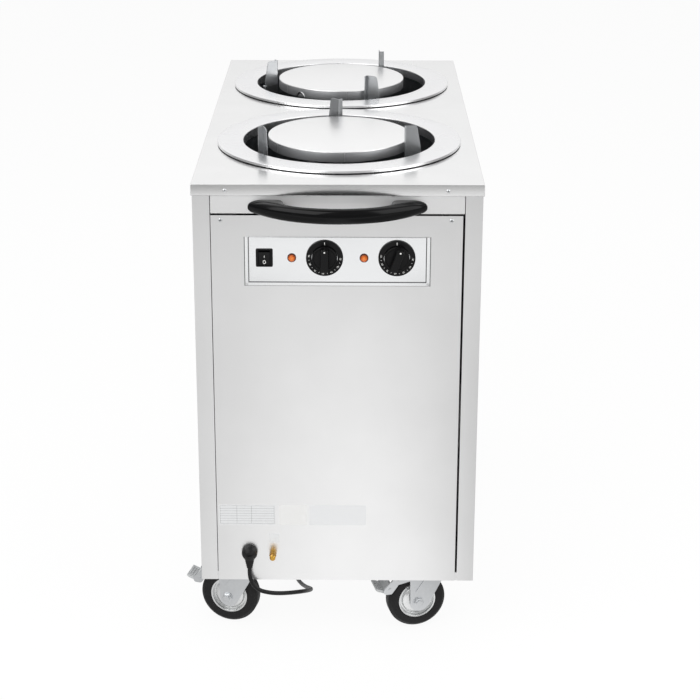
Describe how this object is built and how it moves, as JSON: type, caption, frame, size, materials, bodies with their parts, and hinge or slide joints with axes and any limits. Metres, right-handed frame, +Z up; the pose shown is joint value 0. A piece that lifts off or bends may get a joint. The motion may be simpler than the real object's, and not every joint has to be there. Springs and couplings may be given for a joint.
{
  "type": "plate dispenser cart",
  "caption": "Heated stainless plate dispenser cart: spring-lifted platforms in round wells with turning guides, dials and switch, bow handle, braked swivel casters.",
  "frame": {"origin": "on the floor, under the centre of the cart's bounding box without its loose lead", "axes": "+Z up, +Y to the back along the length, +X to the right seen from the control panel, which faces -Y"},
  "size_m": [0.4864, 0.9598, 0.847],
  "materials": {
    "satin_stainless": "satin",
    "brushed_stainless": "brushed",
    "spring_steel": "drawn wire",
    "heater_sheath": "oxidised",
    "zinc_plate": "zinc plated",
    "brass": "turned",
    "black_plastic": "gloss",
    "grey_plastic": "matte",
    "amber_lens": "translucent",
    "black_rubber": "moulded",
    "tyre_rubber": "worn smooth",
    "black_pvc": "extruded"
  },
  "bodies": {
    "cabinet": {"lid": "satin_stainless", "top_ring_front": "satin_stainless", "top_ring_rear": "satin_stainless", "control_plate": "satin_stainless", "side_panel_left": "brushed_stainless", "side_panel_right": "brushed_stainless", "front_rail": "brushed_stainless", "front_panel": "brushed_stainless", "rear_panel": "brushed_stainless", "base_pan": "brushed_stainless", "well_tube_front": "brushed_stainless", "well_tube_rear": "brushed_stainless", "spring_front": "spring_steel", "heater_front": "heater_sheath", "spring_rear": "spring_steel", "heater_rear": "heater_sheath", "dial_bezel_left": "black_plastic", "thermostat_left": "grey_plastic", "indicator_lamp_left": "amber_lens", "dial_bezel_right": "black_plastic", "thermostat_right": "grey_plastic", "indicator_lamp_right": "amber_lens", "switch_housing": "black_plastic", "handle": "black_plastic", "cord_gland": "black_rubber", "earth_stud": "brass", "caster_plate_front_left": "zinc_plate", "caster_plate_front_right": "zinc_plate", "caster_plate_rear_left": "zinc_plate", "caster_plate_rear_right": "zinc_plate", "power_cord": "black_pvc", "cord_coil": "black_pvc", "plug": "black_pvc"},
    "platform_front": {"platform_front": "satin_stainless"},
    "guide_front_1": {"plate_guide_front_1": "satin_stainless"},
    "guide_front_2": {"plate_guide_front_2": "satin_stainless"},
    "guide_front_3": {"plate_guide_front_3": "satin_stainless"},
    "platform_rear": {"platform_rear": "satin_stainless"},
    "guide_rear_1": {"plate_guide_rear_1": "satin_stainless"},
    "guide_rear_2": {"plate_guide_rear_2": "satin_stainless"},
    "guide_rear_3": {"plate_guide_rear_3": "satin_stainless"},
    "knob_left": {"knob_left": "black_plastic"},
    "knob_right": {"knob_right": "black_plastic"},
    "rocker": {"switch_rocker": "black_plastic"},
    "swivel_front_left": {"caster_fork_front_left": "zinc_plate"},
    "wheel_front_left": {"tyre_front_left": "tyre_rubber", "wheel_hub_front_left": "zinc_plate"},
    "swivel_front_right": {"caster_fork_front_right": "zinc_plate"},
    "wheel_front_right": {"tyre_front_right": "tyre_rubber", "wheel_hub_front_right": "zinc_plate"},
    "swivel_rear_left": {"caster_fork_rear_left": "zinc_plate"},
    "wheel_rear_left": {"tyre_rear_left": "tyre_rubber", "wheel_hub_rear_left": "zinc_plate"},
    "swivel_rear_right": {"caster_fork_rear_right": "zinc_plate"},
    "wheel_rear_right": {"tyre_rear_right": "tyre_rubber", "wheel_hub_rear_right": "zinc_plate"},
    "brake_front_left": {"brake_pedal_front_left": "grey_plastic"},
    "brake_front_right": {"brake_pedal_front_right": "grey_plastic"}
  },
  "joints": [
    {"name": "platform_front_slide", "type": "slide", "parent": "cabinet", "child": "platform_front", "axis": [0, 0, 1], "range_m": [-0.44, 0], "stiffness_N_per_m": 900, "springref_m": 0.05, "deforming": ["spring_front"]},
    {"name": "platform_rear_slide", "type": "slide", "parent": "cabinet", "child": "platform_rear", "axis": [0, 0, 1], "range_m": [-0.44, 0], "stiffness_N_per_m": 900, "springref_m": 0.05, "deforming": ["spring_rear"]},
    {"name": "guide_front_1_turn", "type": "hinge", "parent": "cabinet", "child": "guide_front_1", "pos_m": [0.15208, -0.21839, 0.5], "axis": [0, 0, 1], "range_deg": [-5, 42]},
    {"name": "guide_front_2_turn", "type": "hinge", "parent": "cabinet", "child": "guide_front_2", "pos_m": [-0.00336, -0.01766, 0.5], "axis": [0, 0, 1], "range_deg": [-5, 42]},
    {"name": "guide_front_3_turn", "type": "hinge", "parent": "cabinet", "child": "guide_front_3", "pos_m": [-0.09948, -0.25265, 0.5], "axis": [0, 0, 1], "range_deg": [-43, 4]},
    {"name": "guide_rear_1_turn", "type": "hinge", "parent": "cabinet", "child": "guide_rear_1", "pos_m": [0.09025, 0.39373, 0.5], "axis": [0, 0, 1], "range_deg": [-5, 42]},
    {"name": "guide_rear_2_turn", "type": "hinge", "parent": "cabinet", "child": "guide_rear_2", "pos_m": [-0.13017, 0.26773, 0.5], "axis": [0, 0, 1], "range_deg": [-5, 42]},
    {"name": "guide_rear_3_turn", "type": "hinge", "parent": "cabinet", "child": "guide_rear_3", "pos_m": [0.08916, 0.13984, 0.5], "axis": [0, 0, 1], "range_deg": [-5, 42]},
    {"name": "knob_left_turn", "type": "hinge", "parent": "cabinet", "child": "knob_left", "pos_m": [-0.00359, -0.4269, 0.686], "axis": [0, 1, 0], "range_deg": [0, 270]},
    {"name": "knob_right_turn", "type": "hinge", "parent": "cabinet", "child": "knob_right", "pos_m": [0.10911, -0.4269, 0.686], "axis": [0, 1, 0], "range_deg": [-20, 250]},
    {"name": "rocker_tilt", "type": "hinge", "parent": "cabinet", "child": "rocker", "pos_m": [-0.09759, -0.4209, 0.686], "axis": [1, 0, 0], "range_deg": [-16, 0]},
    {"name": "swivel_front_left_turn", "type": "hinge", "parent": "cabinet", "child": "swivel_front_left", "pos_m": [-0.14159, -0.3449, 0.11], "axis": [0, 0, 1], "continuous": true},
    {"name": "wheel_front_left_spin", "type": "hinge", "parent": "swivel_front_left", "child": "wheel_front_left", "pos_m": [-0.16681, -0.33861, 0.05], "axis": [-0.2419, -0.9703, 0], "continuous": true},
    {"name": "brake_front_left_press", "type": "hinge", "parent": "swivel_front_left", "child": "brake_front_left", "pos_m": [-0.21533, -0.32651, 0.08], "axis": [-0.2419, -0.9703, 0], "range_deg": [0, 20]},
    {"name": "swivel_front_right_turn", "type": "hinge", "parent": "cabinet", "child": "swivel_front_right", "pos_m": [0.17441, -0.3449, 0.11], "axis": [0, 0, 1], "continuous": true},
    {"name": "wheel_front_right_spin", "type": "hinge", "parent": "swivel_front_right", "child": "wheel_front_right", "pos_m": [0.14919, -0.35119, 0.05], "axis": [0.2419, -0.9703, 0], "continuous": true},
    {"name": "brake_front_right_press", "type": "hinge", "parent": "swivel_front_right", "child": "brake_front_right", "pos_m": [0.10067, -0.36328, 0.08], "axis": [0.2419, -0.9703, 0], "range_deg": [0, 20]},
    {"name": "swivel_rear_left_turn", "type": "hinge", "parent": "cabinet", "child": "swivel_rear_left", "pos_m": [-0.14159, 0.4011, 0.11], "axis": [0, 0, 1], "continuous": true},
    {"name": "wheel_rear_left_spin", "type": "hinge", "parent": "swivel_rear_left", "child": "wheel_rear_left", "pos_m": [-0.16733, 0.40472, 0.05], "axis": [-0.1392, -0.9903, 0], "continuous": true},
    {"name": "swivel_rear_right_turn", "type": "hinge", "parent": "cabinet", "child": "swivel_rear_right", "pos_m": [0.17441, 0.4011, 0.11], "axis": [0, 0, 1], "continuous": true},
    {"name": "wheel_rear_right_spin", "type": "hinge", "parent": "swivel_rear_right", "child": "wheel_rear_right", "pos_m": [0.14861, 0.39793, 0.05], "axis": [0.1219, -0.9925, 0], "continuous": true}
  ]
}
